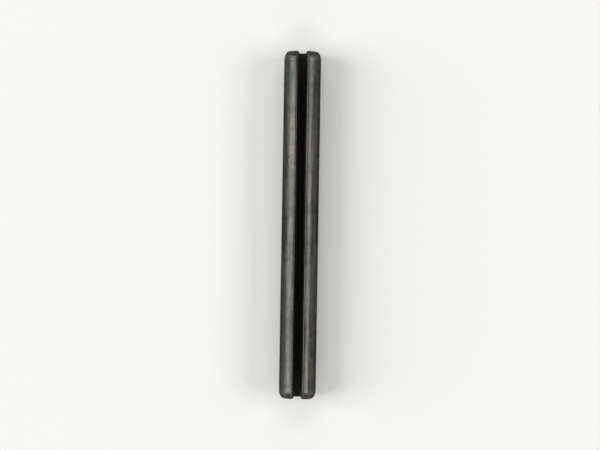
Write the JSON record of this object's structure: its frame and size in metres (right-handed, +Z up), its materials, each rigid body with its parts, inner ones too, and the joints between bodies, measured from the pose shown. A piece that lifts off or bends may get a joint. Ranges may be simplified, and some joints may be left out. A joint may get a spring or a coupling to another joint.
{
  "type": "slotted spring pin",
  "caption": "Slotted spring pin of dark spring steel, rolled into an open C with rounded ends, driven into a drilled hole to lock or locate parts.",
  "frame": {"origin": "on the floor plane under the middle of the pin, which lies on its closed side with its slot up", "axes": "+Y along the pin, +Z up through the middle of the slot, +X to the side"},
  "size_m": [0.0042, 0.04, 0.0041],
  "materials": {
    "black_spring_steel": "satin"
  },
  "bodies": {
    "root": {"spring_pin": "black_spring_steel"}
  },
  "joints": []
}
